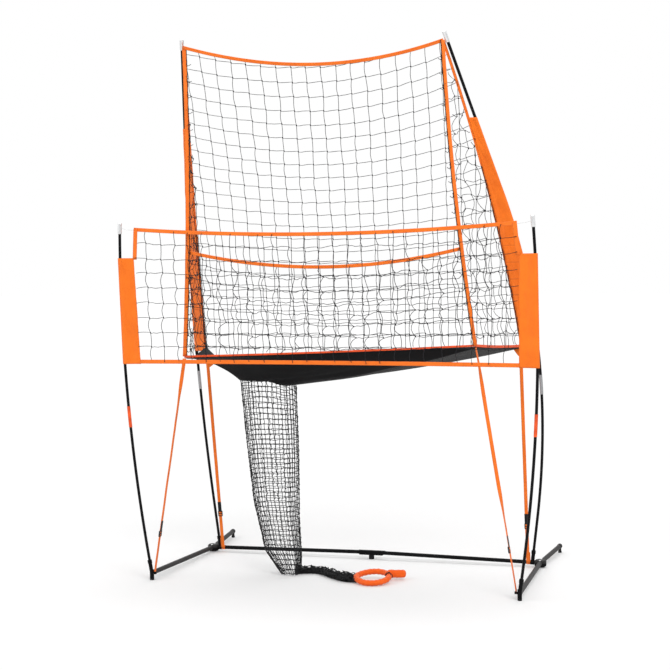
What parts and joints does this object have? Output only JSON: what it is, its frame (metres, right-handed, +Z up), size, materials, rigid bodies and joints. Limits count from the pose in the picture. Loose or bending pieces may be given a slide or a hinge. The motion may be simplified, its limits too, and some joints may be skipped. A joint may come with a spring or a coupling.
{
  "type": "volleyball hitting practice station",
  "caption": "Free-standing practice net: low front net and tall leaning catch net on bowed poles, with a funnel and mesh return chute on a folding H base.",
  "frame": {"origin": "middle of the centre foot's face on the floor, under the crossbar's hinge", "axes": "+X to the right of the hitter, along the crossbar; +Y away from the hitter; +Z up"},
  "size_m": [2.6554, 1.6194, 3.3759],
  "materials": {
    "rubber": "moulded rubber, matt",
    "frame_grey": "dark grey powder coat on steel tube",
    "frame_black": "satin black powder coat on steel",
    "zinc": "zinc-plated steel",
    "pole_black": "black glass-fibre rod",
    "ferrule": "drawn aluminium",
    "tip_white": "bright drawn aluminium cap",
    "band_red": "red-orange shrink band",
    "net_cord": "black knotted nylon net, 100 mm mesh",
    "chute_cord": "black knotted nylon net, small mesh",
    "funnel_cloth": "black woven nylon",
    "sleeve_cloth": "bright orange woven polyester",
    "webbing": "orange woven webbing and tape",
    "buckle_black": "moulded black plastic",
    "cuff_pad": "orange padded cloth",
    "light_cord": "light grey cord"
  },
  "bodies": {
    "root": {"back_net": "net_cord", "centre_channel": "frame_black", "crossbar_left": "frame_black", "crossbar_right": "frame_black", "edge_tape_left": "webbing", "edge_tape_right": "webbing", "foot_tube_left": "frame_grey", "foot_tube_right": "frame_grey", "front_pole_bands": "band_red", "front_pole_lower_left": "pole_black", "front_pole_lower_right": "pole_black", "front_pole_tips": "tip_white", "front_pole_upper_left": "pole_black", "front_pole_upper_right": "pole_black", "front_socket_left": "frame_black", "front_socket_right": "frame_black", "front_strap_left": "webbing", "front_strap_right": "webbing", "funnel": "funnel_cloth", "hinge_pins": "frame_black", "hub_bolts": "zinc", "hub_dish_left": "frame_black", "hub_dish_right": "frame_black", "hub_plate_left": "frame_grey", "hub_plate_right": "frame_grey", "lip_tape": "webbing", "lower_net": "net_cord", "main_pole_ferrules": "ferrule", "main_pole_lower_left": "pole_black", "main_pole_lower_right": "pole_black", "main_pole_tips": "tip_white", "main_pole_upper_left": "pole_black", "main_pole_upper_right": "pole_black", "main_sleeve_left": "sleeve_cloth", "main_sleeve_right": "sleeve_cloth", "main_socket_left": "frame_black", "main_socket_right": "frame_black", "rear_cap_left": "frame_grey", "rear_cap_right": "frame_grey", "rear_strap_left": "webbing", "rear_strap_right": "webbing", "rim_tape": "webbing", "rubber_feet": "rubber", "side_net_left": "net_cord", "side_net_right": "net_cord", "top_tape": "webbing"},
    "front_net_body": {"front_net": "net_cord", "front_net_top_tape": "webbing", "front_net_bottom_tape": "webbing", "front_sleeve_left": "sleeve_cloth", "front_sleeve_right": "sleeve_cloth", "net_corner_cords": "light_cord"},
    "chute_body": {"chute_net": "chute_cord", "chute_floor_net": "chute_cord", "chute_cuff": "cuff_pad", "cuff_tail": "cuff_pad"},
    "front_buckle_left_body": {"front_buckle_left": "buckle_black"},
    "front_buckle_right_body": {"front_buckle_right": "buckle_black"},
    "rear_buckle_left_body": {"rear_buckle_left": "buckle_black"},
    "rear_buckle_right_body": {"rear_buckle_right": "buckle_black"}
  },
  "joints": [
    {"name": "front_net_height", "type": "slide", "parent": "root", "child": "front_net_body", "axis": [0, -0.0523, 0.9986], "range_m": [-0.25, 0]},
    {"name": "chute_swing", "type": "hinge", "parent": "root", "child": "chute_body", "pos_m": [-0.51, -0.54, 1.2], "axis": [0, 0, 1], "range_deg": [-80, 30]},
    {"name": "front_buckle_left_slide", "type": "slide", "parent": "root", "child": "front_buckle_left_body", "axis": [0.1669, 0.0138, 0.9859], "range_m": [-0.15, 0.06]},
    {"name": "front_buckle_right_slide", "type": "slide", "parent": "root", "child": "front_buckle_right_body", "axis": [-0.1579, 0.013, 0.9874], "range_m": [-0.15, 0.06]},
    {"name": "rear_buckle_left_slide", "type": "slide", "parent": "root", "child": "rear_buckle_left_body", "axis": [-0.0025, -0.1495, 0.9888], "range_m": [-0.15, 0.3]},
    {"name": "rear_buckle_right_slide", "type": "slide", "parent": "root", "child": "rear_buckle_right_body", "axis": [0.0024, -0.1402, 0.9901], "range_m": [-0.15, 0.3]}
  ]
}
